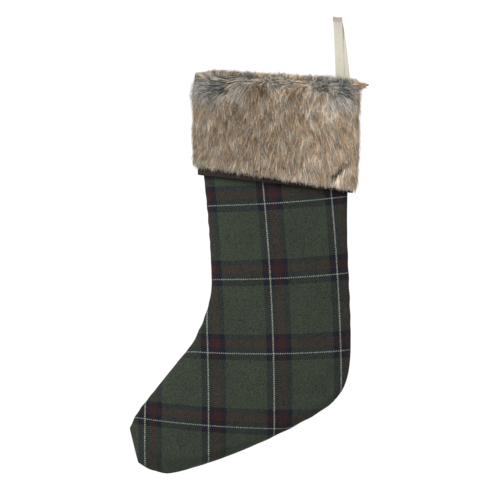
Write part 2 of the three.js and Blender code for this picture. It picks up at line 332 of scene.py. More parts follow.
def tartan_material(name, shift=0.0, drop=0.0):
    """Brushed wool twill with its sett. shift and drop move the sett across and down."""
    s = Shader(name, roughness=0.92, sheen=0.12, specular=0.12)
    x, z, place = s.unrolled()
    # The warp leans over with the leg, and the weft dips towards its middle.
    up = s.math("MAXIMUM", s.math("DIVIDE", s.plus(z, WARP_LEAN[0]), WARP_LEAN[1]), 0.0)
    line = s.plus(x, WARP_START + shift)
    u = s.line(s.times(up, up), WARP_LEAN[2], line)
    squeeze = s.times(s.times(u, u), 0.00018)
    u = s.minus(s.times(u, 0.99), squeeze)
    p = s.plus(x, WEFT_START + shift)
    q = s.line(z, -1.0, WEFT_LEVEL + drop)
    h = s.times(q, 0.01)
    tilt = s.line(h, s.line(h, 0.00556, 0.0192), -0.063)
    dip = s.times(s.times(p, p), 0.000333)
    v = s.plus(s.minus(q, s.times(tilt, p)), dip)
    # Uneven spinning shifts each thread a little.
    wander = s.line(s.noise(place, 2.2), 0.9, -0.45)
    warp = bands_ramp(s, s.plus(u, wander), WARP_PERIOD, WARP_BANDS)
    weft = bands_ramp(s, s.plus(v, wander), WEFT_PERIOD, WEFT_BANDS)
    wave = s.math("SINE", s.times(s.plus(u, v), 2 * math.pi / TWILL))
    over = s.between(wave, -0.4, 0.4)
    cloth = s.mix(over, weft, warp)
    # Heather: flecks at the size of a thread, and slow changes over the cloth.
    flecks = s.noise(place, 1.3, detail=3.0, roughness=0.75)
    tint = s.noise(s.add("VectorMath", operation="ADD", i0=place, i1=(90.0, 0.0, 40.0)), 3.2, detail=3.0)
    patches = s.noise(place, 28.0)
    shade = s.plus(s.line(flecks, 3.6, -0.97), s.times(patches, 0.34))
    warm = s.line(tint, 0.5, -0.25)
    red, blue = s.plus(shade, warm), s.minus(shade, warm)
    mottle = s.add("CombineColor", i0=red, i1=shade, i2=blue)
    cloth = s.mix(1.0, cloth, mottle, "MULTIPLY")
    s.colour(cloth, linear(58, 62, 52))
    s.bump(s.plus(s.times(wave, 0.3), flecks), 0.25, 0.6)
    return s.material


# ---- Other materials ----


def woven_material(name, dark, light, pitch, roughness=0.9, sheen=0.1, relief=0.15, blotch=20.0):
    """Plain weave: threads that cross over and under, in a colour that varies between two."""
    s = Shader(name, roughness, sheen, specular=0.15)
    x, y, z, place = s.position()
    turn = 2 * math.pi / pitch
    across = s.math("SINE", s.times(s.plus(x, y), turn))
    down = s.math("SINE", s.times(z, turn))
    weave = s.line(s.times(across, down), 0.5, 0.5)
    patches = s.times(s.noise(place, blotch, 4.0), 0.65)
    share = s.plus(s.times(weave, 0.35), patches)
    s.colour(s.ramp(share, [(0.2, dark), (0.8, light)]), [(a + b) / 2 for a, b in zip(dark, light)])
    s.bump(s.plus(weave, s.noise(place, pitch)), relief, 0.5)
    return s.material


def tape_material():
    """Unbleached cotton tape in a herringbone twill, with painted shade darkening it where it is folded over
    the crown.
    """
    s = Shader("cotton_tape", roughness=0.9, sheen=0.1, specular=0.15)
    x, y, z, place = s.position()
    ribs = s.math("SINE", s.times(s.plus(z, s.math("PINGPONG", x, 2.7)), 2 * math.pi / 1.1))
    weave = s.line(ribs, 0.5, 0.5)
    share = s.plus(s.times(weave, 0.3), s.times(s.noise(place, 5.0, 4.0), 0.7))
    cotton = s.ramp(share, [(0.15, linear(200, 194, 179)), (0.85, linear(220, 214, 199))])
    # Painted shade: the cotton darkens towards the top of the crown, where the tape is folded over.
    fold_shade = s.between(z, -7.5, -3.0, top=0.9)
    shaded_cotton = s.mix(fold_shade, cotton, linear(158, 149, 132))
    s.colour(shaded_cotton, linear(226, 220, 204))
    s.bump(weave, 0.12, 0.5)
    return s.material


def hair_material(name, root, middle, tip, roughness=0.55):
    """Acrylic fibre: dark at the root, its own colour along the middle, paler at the tip."""
    s = Shader(name, roughness, sheen=0.0, specular=0.25)
    along = s.add("Attribute", output=2, attribute_name="along")
    tone = s.add("Attribute", output=2, attribute_name="tone")
    fibre = s.ramp(along, [(0.0, root), (0.35, middle), (0.75, middle), (1.0, tip)])
    shade = s.line(tone, 1.1, 0.46)
    grey = s.add("CombineColor", i0=shade, i1=shade, i2=shade)
    s.colour(s.mix(1.0, fibre, grey, "MULTIPLY"), middle)
    return s.material


def corner_material():
    """Fur cloth's pale backing at the cuff's corner, bare and red-brown at its very tip."""
    s = Shader("corner_cloth", roughness=0.9, sheen=0.1, specular=0.15)
    x, _, _, place = s.position()
    mottle = s.noise(place, 2.0, 3.0)
    pale = s.ramp(mottle, [(0.2, linear(168, 146, 118)), (0.8, linear(214, 196, 168))])
    tip = s.between(x, 34.5, 36.5)
    s.colour(s.mix(tip, pale, linear(96, 58, 46)), linear(190, 170, 142))
    s.bump(mottle, 0.3, 0.5)
    return s.material


# ---- Leg and foot ----


def trace(curves):
    """Closely spaced points along a chain of straight and cubic stretches, with their distance."""
    t = np.linspace(0, 1, 120)[:, None]
    dense = []
    for points in curves:
        p = np.array(points, float)
        if len(p) == 2:
            dense.append(p[0] + (p[1] - p[0]) * t)
        else:
            dense.append((1 - t) ** 3 * p[0] + 3 * (1 - t) ** 2 * t * p[1]
                         + 3 * (1 - t) * t ** 2 * p[2] + t ** 3 * p[3])
    line = np.vstack(dense)
    gone = np.r_[0, np.cumsum(np.linalg.norm(np.diff(line, axis=0), axis=1))]
    return line, gone / gone[-1]


def at_share(traced, share):
    line, gone = traced
    return np.stack([np.interp(share, gone, line[:, i]) for i in (0, 1)], axis=-1)


instep, heel = trace(INSTEP), trace(HEEL)


def openness(share):
    """1 along the leg, falling to 0 at the toe seam."""
    into = np.clip((share - (1 - TOE_ROUNDING)) / TOE_ROUNDING, 0, 1)
    return np.sqrt(1 - into ** 2)


def leg_points(share, angle, inset, depth):
    """Points on the tube of the leg: angle 0 is the heel side, 90 degrees the front, 180 the toe side."""
    toe, back = at_share(instep, share), at_share(heel, share)
    centre, half = (toe + back) / 2, (back - toe) / 2
    reach = np.linalg.norm(half, axis=-1)
    half = half * ((reach - inset) / reach * np.cos(angle))[..., None]
    at = centre + half
    return np.stack([at[..., 0], -depth * np.sin(angle), at[..., 1]], axis=-1)


TOE_GAP = 0.15                # half the gap between the two panels at the toe seam
CREASE_CAP = 4.0              # the cloth's folds move it no further than this
PUCKER = (0.45, 8.5, 9.0)     # height of the puckers beside a seam, their pitch, and how far in they reach
LEG_LENGTH = 480.0            # along the leg and foot, from the mouth to the toe
HALF_WIDTH = 80.0             # of the leg, for how far a pucker is from its seam
DRAW = (0.75, 19.0)           # depth and pitch of the seam's drawing in
CLOTH_GRID = (76, 72)         # rows and columns of the cloth that is simulated
CLOTH_FRAMES = 30
CLOTH = {"quality": 6, "mass": 0.15, "tension_stiffness": 15, "compression_stiffness": 15,
         "bending_stiffness": 3, "shrink_min": -0.035}
SEAM_SHARES = (0.10, 0.93)    # the stretch of the leg that the overlocked edge runs along
SEAM_REACH = (2.2, 5.0)       # the overlocked edge lies between these distances inside the outline
SEAM_HALF = 0.6


def leg_creases():
    """How the hanging cloth moves from its cut shape, over a grid of share and angle: Blender's cloth on
    a coarse tube of the leg, held at its mouth and along its seams, and cut a little too wide."""
    rows, ring = CLOTH_GRID
    s = np.linspace(0, 1, rows)[:, None] + np.zeros(ring)
    a = np.arange(ring) * 2 * math.pi / ring + np.zeros((rows, 1))
    rest = leg_points(s, a, 0.0, TARTAN + (DEPTH - TARTAN) * openness(s))
    mesh = fill_mesh("leg_cloth", rest.reshape(-1, 3), grid_quads(rows, ring, ring=True))
    leg = place_in_scene("leg_cloth", mesh)
    held = (np.abs(np.sin(a)) < 0.05) | (s < 0.02) | (s > 0.97)
    pins = leg.vertex_groups.new(name="held")
    pins.add(np.flatnonzero(held.ravel()).tolist(), 1.0, "REPLACE")
    cloth = leg.modifiers.new("cloth", "CLOTH")
    cloth.settings.vertex_group_mass = "held"
    for setting, value in CLOTH.items():
        setattr(cloth.settings, setting, value)
    for number in range(1, CLOTH_FRAMES + 1):
        bpy.context.scene.frame_set(number)
    moved = leg.evaluated_get(bpy.context.evaluated_depsgraph_get()).to_mesh()
    places = points_of(moved)
    bpy.context.scene.frame_set(1)
    bpy.data.objects.remove(leg)
    shift = places.reshape(rows, ring, 3) / MM - rest
    size = np.linalg.norm(shift, axis=-1, keepdims=True)
    shift *= CREASE_CAP * np.tanh(size / CREASE_CAP) / np.maximum(size, 1e-6)
    # Under the cuff the cloth stays smooth, and the outline stays as it is cut.
    free = np.clip((s - 0.22) / 0.1, 0, 1) * np.abs(np.sin(a))
    return shift * free[..., None]


def crease_at(field, share, angle):
    """The creases' movement at a share down the leg and an angle round it."""
    rows, ring = field.shape[:2]
    r = np.clip(share * (rows - 1), 0, rows - 1.001)
    c = (angle / (2 * math.pi) * ring) % ring
    i, j = r.astype(int), c.astype(int)
    u, v = (r - i)[..., None], (c - j)[..., None]
    k = (j + 1) % ring
    j = j % ring
    low = field[i, j] * (1 - v) + field[i, k] * v
    high = field[i + 1, j] * (1 - v) + field[i + 1, k] * v
    return low * (1 - u) + high * u


def puckers(share, angle, reach):
    """Small gathers beside both seams, as a depth that fades away from the seam."""
    height, pitch, width = PUCKER
    gone = share * LEG_LENGTH
    wave = np.sin(2 * math.pi * gone / pitch + 2.2 * np.sin(gone / 31)) * (0.6 + 0.4 * np.sin(gone / 17))
    from_seam = reach * (1 - np.abs(np.cos(angle)))
    fade = np.exp(-(from_seam / width) ** 2) * np.clip(from_seam / 1.5, 0, 1)
    return height * wave * fade


def seam_draw(points, share, angle):
    """Moves the panel's edges in a little here and there, where the seam's thread draws them together."""
    length = share * LEG_LENGTH
    deepest, pitch = DRAW
    turn = 2 * math.pi * length / pitch + 2.2 * np.sin(length / 37) + np.where(angle > math.pi / 2, 2.0, 0.0)
    depth = deepest * (0.5 + 0.5 * np.sin(turn)) * (0.5 + 0.5 * np.sin(length / 23)) * np.cos(angle) ** 8
    middle = points.shape[1] // 2
    across = (points - points[:, middle:middle + 1]) * [1, 0, 1]
    return points - unit(across) * depth[..., None]


def edge_spread(points):
    """How far the cloth would reach past its place, straight on from the flat part of the panel, if the
    part that turns in at both edges were laid out flat."""
    middle = points.shape[1] // 2
    centre = points[:, middle:middle + 1]
    step = np.linalg.norm(np.diff(points, axis=1), axis=-1)
    gone = np.pad(np.cumsum(step, axis=1), ((0, 0), (1, 0)))
    gone = np.abs(gone - gone[:, middle:middle + 1])
    across = (points - centre) * [1, 0, 1]
    seen = np.linalg.norm(across, axis=-1)
    share = seen / seen.max(axis=1, keepdims=True)
    hidden = np.maximum(gone - seen, 0)
    level = np.array([np.interp(0.9, row[middle:], extra[middle:]) for row, extra in zip(share, hidden)])
    return unit(across) * np.where(share > 0.9, np.maximum(hidden - level[:, None], 0), 0)[..., None]


def leg_sheet(name, material, replaced, side, inset, outer, thick, end, creases, rows=260, columns=110):
    """One panel of the leg and foot as a hanging sheet with puckers along its seams."""
    s = 1 - (1 - np.linspace(0, 1, rows)[:, None]) ** 1.25 + np.zeros(columns)
    a = np.linspace(0, math.pi, columns) + np.zeros((rows, 1))
    depth = TOE_GAP + (outer - TOE_GAP) * openness(s)
    points = seam_draw(leg_points(s * end, a, inset, depth), s * end, a)
    points[..., 1] -= puckers(s * end, a, HALF_WIDTH) * openness(s)
    points = points * [1, side, 1] + crease_at(creases, s * end, a if side > 0 else 2 * math.pi - a)
    faces = grid_quads(rows, columns)
    mesh = fill_mesh(name, points.reshape(-1, 3), faces[:, ::-1] if side > 0 else faces)
    spread = mesh.attributes.new("spread", "FLOAT_VECTOR", "POINT")
    spread.data.foreach_set("vector", edge_spread(points).astype(np.float32).ravel())
    piece = piece_of(mesh, material, replaced=replaced)
    solid = piece.modifiers.new("thickness", "SOLIDIFY")
    solid.thickness = thick * MM
    solid.offset = -1.0
    solid.use_even_offset = False


def leg_seam(material):
    """The turned-in edges of the tartan, sewn together with an overlock just inside the outline."""
    points, quads, caps = [], [], []
    for line, other in ((instep, heel), (heel, instep)):
        share = np.linspace(*SEAM_SHARES, 170)
        at = at_share(line, share)
        along = unit(np.gradient(at, axis=0))
        inward = np.stack([-along[:, 1], along[:, 0]], axis=-1)
        inward *= np.sign(np.sum(inward * (at_share(other, share) - at), axis=-1))[:, None]
        ripple = 0.3 * np.sin(share * 300)
        base = sum(len(p) for p in points)
        ring = []
        near, far = SEAM_REACH
        for reach, y in ((near, -SEAM_HALF), (far, -SEAM_HALF), (far, SEAM_HALF), (near, SEAM_HALF)):
            edge = at + inward * reach
            ring.append(np.stack([edge[:, 0], y + ripple * (reach == far), edge[:, 1]], axis=-1))
        block = np.stack(ring, axis=1)
        points.append(block.reshape(-1, 3))
        quads.append(grid_quads(len(share), 4, ring=True) + base)
        last = base + 4 * (len(share) - 1)
        caps += [[base + 3, base + 2, base + 1, base], [last, last + 1, last + 2, last + 3]]
    mesh = fill_mesh("leg_seam_overlocked", np.vstack(points), np.vstack(quads), np.array(caps))
    flip_if_inward(mesh)
    mesh.set_sharp_from_angle(angle=math.radians(50))
    piece_of(mesh, material, replaced=["leg_seam_allowance"])


# ---- Cuff ----


def cuff_points(angle, height, out):
    """Points round the cuff. height is up from the mouth line, out is away from it; both may be arrays.
    Angle 0 is the heel side, 90 degrees the front, 180 the toe side and 270 the back."""
    drop = (-np.asarray(height, float) / CUFF_HEIGHT)[..., None]
    toe = np.array(RIM_TOE) + (np.array(HEM_TOE) - RIM_TOE) * drop
    back = np.array(RIM_HEEL) + (np.array(HEM_HEEL) - RIM_HEEL) * drop
    centre, half = (toe + back) / 2, (back - toe) / 2
    reach = np.linalg.norm(half, axis=-1)
    half = half * ((reach + out) / reach * np.cos(angle))[..., None]
    depth = DEPTH + HEM_FLARE * drop[..., 0] + out
    at = centre + half
    return np.stack([at[..., 0], -depth * np.sin(angle), at[..., 1]], axis=-1)


def cuff_band(name, material, replaced, first, outline, columns=90):
    """Half of the cuff as a closed band: outline is a list of (height, out), and first its first angle."""
    angles = np.linspace(first, first + math.pi, columns)
    heights, outs = np.array(outline, float).T
    a, h = np.meshgrid(angles, heights, indexing="ij")
    o = np.broadcast_to(outs, a.shape)
    return piece_of(closed_rings(name, cuff_points(a, h, o)), material, replaced=replaced)


def oval(count, low, high, inner, outer):
    """Outline of a bead between two heights and two outs."""
    turns = np.arange(count) * 2 * math.pi / count
    middle, out = (low + high) / 2, (inner + outer) / 2
    return [(middle + (high - low) / 2 * math.sin(t), out + (outer - inner) / 2 * math.cos(t)) for t in turns]


TAB = (13.0, 24.6, -86.0, 4.6)              # the flap's start, length, height, and rise to its tip
TAB_HAIRS = 420


def corner_tab(cloth):
    """The end of the cuff's side seam: a flat tapering flap of fur cloth with a bare dark tip. Returns
    the line along it as (x, middle, half height, half thickness)."""
    start, length, base, rise = TAB
    t = np.linspace(0, 1, 22)
    x, middle = start + length * t, base + rise * t ** 0.7
    half, thick = 6.6 * (1 - t) ** 0.9 + 0.5, 1.3 * (1 - t) ** 0.8 + 0.35
    turns = np.arange(16) * 2 * math.pi / 16
    y = thick[:, None] * np.sin(turns)
    z = middle[:, None] + half[:, None] * np.cos(turns)
    mesh = closed_rings("cuff_corner_tab", np.stack([x[:, None] + 0 * y, y, z], axis=-1))
    piece_of(mesh, cloth, replaced=["cuff_seam_corner"])
    return t, (x, middle, half, thick)


def corner_hairs(fibre, t, line):
    """Short hairs that lie along the flap, thinning out before its bare tip."""
    rng = np.random.default_rng(31)
    at = rng.uniform(0, 0.82, TAB_HAIRS)
    turn = rng.uniform(0, 2 * math.pi, TAB_HAIRS)
    x, middle, half, thick = [np.interp(at, t, v) for v in line]
    root = np.stack([x, thick * np.sin(turn), middle + half * np.cos(turn)], axis=-1)
    normals = unit(np.stack([0 * at, np.sin(turn), np.cos(turn) * 0.7], axis=-1))
    aside, up = 0.2 * rng.normal(0, 1, TAB_HAIRS), 0.35 * rng.normal(0, 1, TAB_HAIRS)
    flow = unit(np.stack([np.ones(TAB_HAIRS), aside, up], axis=-1))
    length = rng.uniform(3, 8, TAB_HAIRS) * (1 - 0.6 * at)
    s = SECTIONS[None, :, None]
    rise = (length * 0.22)[:, None, None] * (1 - (1 - s) ** 2)
    lines = root[:, None] + flow[:, None] * length[:, None, None] * s + normals[:, None] * rise
    width, tone = np.full(TAB_HAIRS, 0.16), rng.uniform(0.2, 0.9, TAB_HAIRS)
    piece_of(strands_mesh("cuff_corner_hairs", lines, normals, width, tone), fibre)


def flip_if_inward(mesh):
    """Turns a closed mesh's faces outwards if its volume comes out negative."""
    mesh.calc_loop_triangles()
    t = np.zeros(len(mesh.loop_triangles) * 3, int)
    mesh.loop_triangles.foreach_get("vertices", t)
    a, b, c = points_of(mesh)[t.reshape(-1, 3).T]
    if np.einsum("ij,ij->i", a, np.cross(b, c)).sum() < 0:
        mesh.flip_normals()


def rounded(points_per_end, low, high, inner, outer):
    """Outline of a band between two heights and two outs, with round ends."""
    half = (outer - inner) / 2
    middle = (outer + inner) / 2
    turns = np.linspace(0, math.pi, points_per_end)
    bottom = [(low + half - half * math.sin(t), middle - half * math.cos(t)) for t in turns]
    steps = np.linspace(low + half, high - half, 8)[1:-1]
    top = [(high - half + half * math.sin(t), middle + half * math.cos(t)) for t in turns]
    return [*bottom, *[(h, outer) for h in steps], *top, *[(h, inner) for h in steps[::-1]]]


# ---- Fur ----

SECTIONS = np.array([0.0, 0.35, 0.65, 0.88, 1.0])
TAPER = np.array([1.0, 0.95, 0.72, 0.4])
HAIRS = 52000       # on each half of the cuff
PER_PIECE = 8800                            # hairs in one mesh
TUFT = 3.2                                  # distance from tuft to tuft
HAIR_LENGTH = 16.5
CREST_LENGTH = 10.5                         # of the hairs combed over the crest
SHORTEST = 4.0
THIN, THICK = 0.12, 0.175                   # a stray hair's width, and the least width of the others
# Partings, where the pile's dark root shows: share across from the toe side, distance down from the
# crest, half width, half height, sideways lean of the hairs (towards the toe), strength.
PARTINGS = {
    "front": [
        (0.17, 11.0, 18.0, 8.0, 0.8, 1.0), (0.35, 2.0, 7.0, 3.5, 0.5, 0.7),
        (0.51, 3.0, 11.0, 4.5, -0.25, 0.8), (0.77, 3.4, 10.0, 6.0, -0.25, 0.9),
        (0.885, 6.0, 13.0, 8.5, -0.6, 1.0), (0.85, 20.5, 9.0, 3.6, -0.5, 0.75),
    ],
    "back": [
        (0.20, 8.0, 20.0, 7.0, 1.0, 0.9), (0.50, 4.0, 13.0, 5.0, 0.3, 0.6), (0.83, 9.0, 18.0, 8.0, -0.9, 1.0),
    ],
}
# Where a lock of paler or browner hairs lies: share, distance down, half width, half height, tone.
LOCKS = [
    (0.27, 11.0, 8.0, 12.0, "grey"), (0.12, 24.0, 15.0, 5.0, "grey"), (0.25, 32.0, 4.0, 12.0, "brown"),
    (0.81, 27.0, 13.0, 6.0, "cream"), (0.95, 22.0, 7.0, 7.0, "grey"), (0.42, 11.0, 8.0, 4.0, "brown"),
    (0.60, 10.0, 9.0, 5.0, "brown"), (0.02, 6.0, 8.0, 10.0, "grey"),
    (0.10, 16.0, 14.0, 5.0, "grey"), (0.88, 14.0, 10.0, 4.0, "grey"),
]
CREASE = ((0.960, 84.0), (0.835, 107.0))    # ends: share across from the toe side, distance down
FAR = 1000.0
HAIR_TONES = {
    "slate": (linear(48, 57, 58), linear(98, 109, 109), linear(172, 177, 173)),
    "tan": (linear(92, 80, 64), linear(200, 173, 140), linear(230, 208, 178)),
    "brown": (linear(78, 64, 48), linear(164, 137, 105), linear(198, 170, 136)),
    "cream": (linear(132, 120, 104), linear(242, 226, 204), linear(252, 242, 226)),
    "grey": (linear(92, 96, 96), linear(200, 199, 193), linear(240, 239, 234)),
}


def waves(rng, size, count=10):
    """A smooth random field over two coordinates, about -1 to 1, with features of about size."""
    turns = rng.uniform(0, 2 * math.pi, count)
    speeds = 2 * math.pi / size * rng.uniform(0.5, 1.5, count)
    phases = rng.uniform(0, 2 * math.pi, count)

    def field(a, d):
        total = 0.0
        for turn, speed, phase in zip(turns, speeds, phases):
            total = total + np.sin(speed * (a * math.cos(turn) + d * math.sin(turn)) + phase)
        return total / math.sqrt(count)

    return field


def arc_table(out):
    """Angles from 0 to 180 degrees and the distance round the cuff to each, halfway down."""
    angles = np.linspace(0, math.pi, 400)
    points = cuff_points(angles, np.full(400, -CUFF_HEIGHT / 2), np.full(400, out))
    gone = np.r_[0, np.cumsum(np.linalg.norm(np.diff(points, axis=0), axis=1))]
    return angles, gone


arc_angles, arc_gone = arc_table(BACKING_OUT)
ARC = arc_gone[-1]


def pile_height(angle):
    """How far the pile stands off its backing at an angle round the cuff."""
    toe_share = (1 - np.cos(angle)) / 2
    sides = PILE["heel"] + (PILE["toe"] - PILE["heel"]) * toe_share
    return sides + (PILE["front"] - sides) * np.abs(np.sin(angle)) - BACKING_OUT


def fur_place(first, arc, down, up):
    """A point of the pile: arc round the half cuff from its first angle, down from the crest's outer
    edge, which is negative over the crest and inside the mouth, and up off the backing."""
    inside = np.clip(arc, 0, ARC)
    turn = np.interp(inside, arc_gone, arc_angles) + (arc - inside) / DEPTH
    angle = turn + first
    half_turn = math.pi * CREST_RADIUS
    over = np.clip(-down, 0, half_turn) / CREST_RADIUS
    reach = CREST_RADIUS + up
    out = BACKING_OUT - CREST_RADIUS + reach * np.cos(over)
    height = CREST_BASE + reach * np.sin(over) - np.maximum(down, 0) - np.maximum(-down - half_turn, 0)
    return cuff_points(angle, height, out)


def arc_at(word, share):
    """The distance round a half cuff at a share across it from the toe side."""
    from_heel = 1 - share if word == "front" else share
    return np.interp(math.acos(1 - 2 * from_heel), arc_angles, arc_gone)


def part_pile(word, arc, down):
    """Round the partings: how far the hairs lie over sideways, how strong the parting is, and how deep
    the line lies that divides the hairs combed over the crest from those combed down."""
    side = np.zeros(len(arc))
    near = np.zeros(len(arc))
    line = np.full(len(arc), 2.0)
    for share, depth, half_width, half_height, lean, strength in PARTINGS[word]:
        across = (arc - arc_at(word, share)) / half_width
        fall = strength * np.exp(-across ** 2 - ((down - depth) / half_height) ** 2)
        side += lean * fall * (1 if word == "front" else -1)
        near = np.maximum(near, fall)
        if depth < 15:
            line += (depth - line) * np.exp(-across ** 2)
    return side, near, line


def below_crease(word, arc, down):
    """How far below each root the crease in the pile by the heel-side hem lies: negative for a root
    under the crease, and far away for hairs beside it."""
    ends = sorted((arc_at(word, share), depth) for share, depth in CREASE)
    level = np.interp(arc, *np.transpose(ends), left=FAR, right=FAR)
    return level - down


def lock_tones(word, arc, down, chance, kind):
    """Gives the hairs of each lock its tone."""
    for share, depth, half_width, half_height, tone in LOCKS:
        across = (arc - arc_at(word, share)) / half_width
        fall = np.exp(-across ** 2 - ((down - depth) / half_height) ** 2)
        kind = np.where(fall * 0.9 > chance, tone, kind)
    return kind


def strands_mesh(name, lines, normals, width, tone):
    """A mesh of hairs, each a closed three-sided spike."""
    count, steps = lines.shape[:2]
    tangents = unit(np.gradient(lines, axis=1))
    across = unit(np.cross(tangents, normals[:, None]))
    over = np.cross(across, tangents)
    turns = np.array([0.5, 1.167, 1.833]) * math.pi
    ring = (across[:, :-1, None] * np.cos(turns)[:, None] + over[:, :-1, None] * np.sin(turns)[:, None] * 0.6)
    shell = lines[:, :-1, None] + ring * (width[:, None] * TAPER)[..., None, None]
    points = np.concatenate([shell.reshape(count, -1, 3), lines[:, -1:]], axis=1)
    each = points.shape[1]
    quads = []
    for k in range(steps - 2):
        for i in range(3):
            j = (i + 1) % 3
            quads.append([3 * k + i, 3 * k + j, 3 * k + 3 + j, 3 * k + 3 + i])
    end = 3 * (steps - 2)
    tip = each - 1
    triangles = [[end, end + 1, tip], [end + 1, end + 2, tip], [end + 2, end, tip], [2, 1, 0]]
    starts = (np.arange(count) * each)[:, None, None]
    mesh = fill_mesh(name, points.reshape(-1, 3),
                     (np.array(quads)[None] + starts).reshape(-1, 4),
                     (np.array(triangles)[None] + starts).reshape(-1, 3))
    along = np.r_[np.repeat(SECTIONS[:-1], 3), SECTIONS[-1]]
    values = {"along": np.tile(along, count), "tone": np.repeat(tone, each)}
    for key, value in values.items():
        mesh.attributes.new(key, "FLOAT", "POINT").data.foreach_set("value", value.astype(np.float32))
    return mesh


def tufts(rng, arc, down, top):
    """The middle of each hair's tuft, and four random numbers that its tuft shares."""
    cells = (int(ARC / TUFT) + 2, int((CUFF_HEIGHT - top) / TUFT) + 2)
    jitter = rng.uniform(-0.45, 0.45, (2, *cells)) * TUFT
    shared = rng.normal(0, 1, (4, *cells))
    i = np.clip((arc / TUFT).round().astype(int), 0, cells[0] - 1)
    j = np.clip(((down - top) / TUFT).round().astype(int), 0, cells[1] - 1)
    middle = np.column_stack([i * TUFT + jitter[0, i, j], j * TUFT + top + jitter[1, i, j]])
    return middle, shared[:, i, j]


def hair_tones(rng, word, arc, down, line, near, tuft, loose, shade):
    """The tone of every hair: tufts of one colour, slate in the partings, pale fringes round them."""
    value = 0.6 * tuft[1] + 0.5 * shade + 0.75 * loose[2]
    kind = np.select([value < -0.75, value < 0.5, value < 0.95], ["brown", "tan", "grey"], "cream")
    chance = rng.uniform(0, 1, len(arc))
    kind = lock_tones(word, arc, down, chance, kind)
    fringe = (near > 0.08) & (near < 0.5) & (chance < 0.72)
    kind = np.where(fringe, np.where(loose[1] > 0.7, "cream", "grey"), kind)
    deep = near + 0.16 * loose[0] > 0.5
    kind = np.where(deep, np.select([chance < 0.74, chance < 0.94], ["slate", "grey"], "cream"), kind)
    kind = np.where((near < 0.5) & (chance > 0.94), "slate", kind)
    crest = (down < line - 3) & (near < 0.35)
    return np.where(crest & (kind != "cream"), np.where(loose[2] < -0.9, "brown", "tan"), kind)


def hair_flow(arc, down, tuft, loose, side, near, line, lean, drift):
    """Which way each hair lies over the backing: down the cuff, over the crest above the line, sideways
    in a parting. Returns (round, down), how strong it is, and whether it goes over the crest."""
    way = np.tanh((down - line) / 5.5)
    tilt = 0.18 * lean(arc, down) + 0.16 * tuft[0] + 0.16 * loose[0] + (0.12 + 0.8 * near) * drift(arc, down)
    flow = np.column_stack([np.sin(tilt) + 1.5 * side + 0.75 * (1 - np.abs(way)) * loose[3],
                            way * (1 - 0.35 * near) + 0.2 * near * loose[2]])
    return unit(flow), np.linalg.norm(flow, axis=1), way < 0


def hair_lengths(tuft, loose, near, above, flow, room, crease):
    """The length of every hair, ended at the hem and at the crease."""
    length = HAIR_LENGTH + 2.5 * tuft[1] + 2.5 * loose[1] - 3.0 * near
    length = np.where(above, CREST_LENGTH + 2.2 * loose[1] + 3.0 * near, length)
    length = np.maximum(length, SHORTEST)
    # The lowest hairs are shorter, so that their tips make an even edge.
    length = np.where(flow[:, 1] > 0.3, np.minimum(length, np.maximum(room * 1.04, 3.0)), length)
    return np.where((crease > 0) & (crease < 16), np.clip(crease * 1.06, 3.0, length), length)


def hair_stands(turn, to_toe, down, tuft, loose, near, above, room, dark, wisp, stray):
    """How far each hair's tip stands off the backing."""
    stand = pile_height(turn) * np.clip(0.62 + 0.10 * tuft[3] + 0.17 * loose[3] + 0.25 * near, 0.15, 1.3)
    stand = stand * np.clip(room / 16.0, 0.25, 1.0)
    low_crest = 2.2 + 1.5 * np.abs(loose[2]) + 0.2 * np.maximum(down, 0) + 1.5 * near
    stand = np.where(above, np.minimum(stand, low_crest), stand)
    stand = np.where(dark, 0.5 * stand, stand)
    # The crest's toe-side corner lies flat, and below it pale wisps stand out from the rest.
    corner = np.clip((to_toe - 0.88) / 0.1, 0, 1) * np.clip(1 - (down + 2) / 22, 0, 1)
    stand = stand * (1 - 0.9 * corner)
    return np.where(stray, stand + 2.0 * (1 - corner) + 4.0 * wisp, stand)


def hair_lines(rng, first, arc, down, middle, flow, loose, stray, stand, forward):
    """The line of each hair, bent over from its root and gathered towards its tuft's tip, and the way
    out of the backing at its root."""
    s = SECTIONS[None]
    rise = stand[:, None] * (1 - (1 - s) ** 2)
    ahead = forward[:, None] * (0.25 * s + 0.75 * s ** 1.3)
    gather = 1 - np.where(stray, 0.0, 0.42)[:, None] * s ** 1.3
    curl = (0.5 * loose[2])[:, None] * np.sin(s * math.pi)
    a = middle[:, :1] + (arc - middle[:, 0])[:, None] * gather + flow[:, :1] * ahead + flow[:, 1:] * curl
    d = middle[:, 1:] + (down - middle[:, 1])[:, None] * gather + flow[:, 1:] * ahead - flow[:, :1] * curl
    lines = fur_place(first, a, d, rise)
    lines = lines + rng.normal(0, 0.09, lines.shape) * s[..., None]
    foot = fur_place(first, arc, down, np.zeros(HAIRS))
    return lines, unit(fur_place(first, arc, down, np.ones(HAIRS)) - foot)


